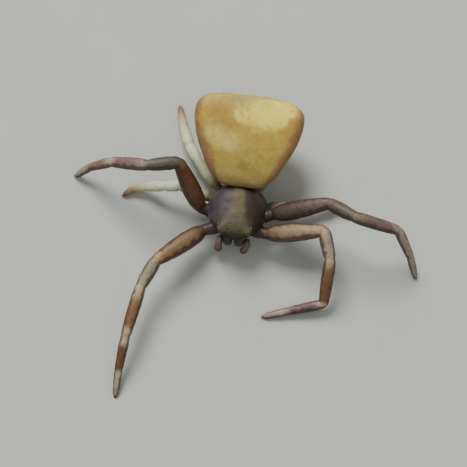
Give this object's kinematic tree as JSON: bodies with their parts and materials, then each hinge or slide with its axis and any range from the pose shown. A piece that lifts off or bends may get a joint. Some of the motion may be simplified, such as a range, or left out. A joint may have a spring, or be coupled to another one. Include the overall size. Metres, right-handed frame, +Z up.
{
  "type": "crab spider",
  "caption": "Life-size still model of a yellow crab spider with a wedge-shaped abdomen, standing with its long brown front legs spread.",
  "frame": {"origin": "on the floor, under the middle of the model's bounding box", "axes": "+Z up; the spider looks along -Y; +X is towards its own left side"},
  "size_m": [0.0176, 0.0156, 0.0042],
  "materials": {
    "abdomen": "satin cuticle",
    "shield": "satin cuticle",
    "leg_brown": "satin cuticle",
    "leg_tan": "satin cuticle",
    "hind_leg": "satin cuticle",
    "eye": "gloss"
  },
  "bodies": {
    "root": {"eye_front_middle_left": "eye", "eye_front_middle_right": "eye", "eye_front_side_left": "eye", "eye_front_side_right": "eye", "eye_back_middle_left": "eye", "eye_back_middle_right": "eye", "eye_back_side_left": "eye", "eye_back_side_right": "eye", "carapace": "shield", "sternum": "shield", "abdomen": "abdomen", "pedicel": "shield", "spinnerets": "leg_tan", "chelicera_left": "shield", "palp_left": "leg_brown", "chelicera_right": "shield", "palp_right": "leg_brown", "leg1_left_coxa": "shield", "leg1_left_femur": "leg_brown", "leg1_left_tibia": "leg_tan", "leg1_left_metatarsus": "leg_brown", "leg1_left_tarsus": "leg_tan", "leg1_right_coxa": "shield", "leg1_right_femur": "leg_brown", "leg1_right_tibia": "leg_tan", "leg1_right_metatarsus": "leg_brown", "leg1_right_tarsus": "leg_tan", "leg2_left_coxa": "shield", "leg2_left_femur": "leg_brown", "leg2_left_tibia": "leg_tan", "leg2_left_metatarsus": "leg_brown", "leg2_left_tarsus": "leg_tan", "leg2_right_coxa": "shield", "leg2_right_femur": "leg_brown", "leg2_right_tibia": "leg_tan", "leg2_right_metatarsus": "leg_brown", "leg2_right_tarsus": "leg_tan", "leg3_left_coxa": "shield", "leg3_left_femur": "hind_leg", "leg3_left_tibia": "hind_leg", "leg3_left_metatarsus": "hind_leg", "leg3_left_tarsus": "hind_leg", "leg3_right_coxa": "shield", "leg3_right_femur": "hind_leg", "leg3_right_tibia": "hind_leg", "leg3_right_metatarsus": "hind_leg", "leg3_right_tarsus": "hind_leg", "leg4_left_coxa": "shield", "leg4_left_femur": "hind_leg", "leg4_left_tibia": "hind_leg", "leg4_left_metatarsus": "hind_leg", "leg4_left_tarsus": "hind_leg", "leg4_right_coxa": "shield", "leg4_right_femur": "hind_leg", "leg4_right_tibia": "hind_leg", "leg4_right_metatarsus": "hind_leg", "leg4_right_tarsus": "hind_leg"}
  },
  "joints": []
}
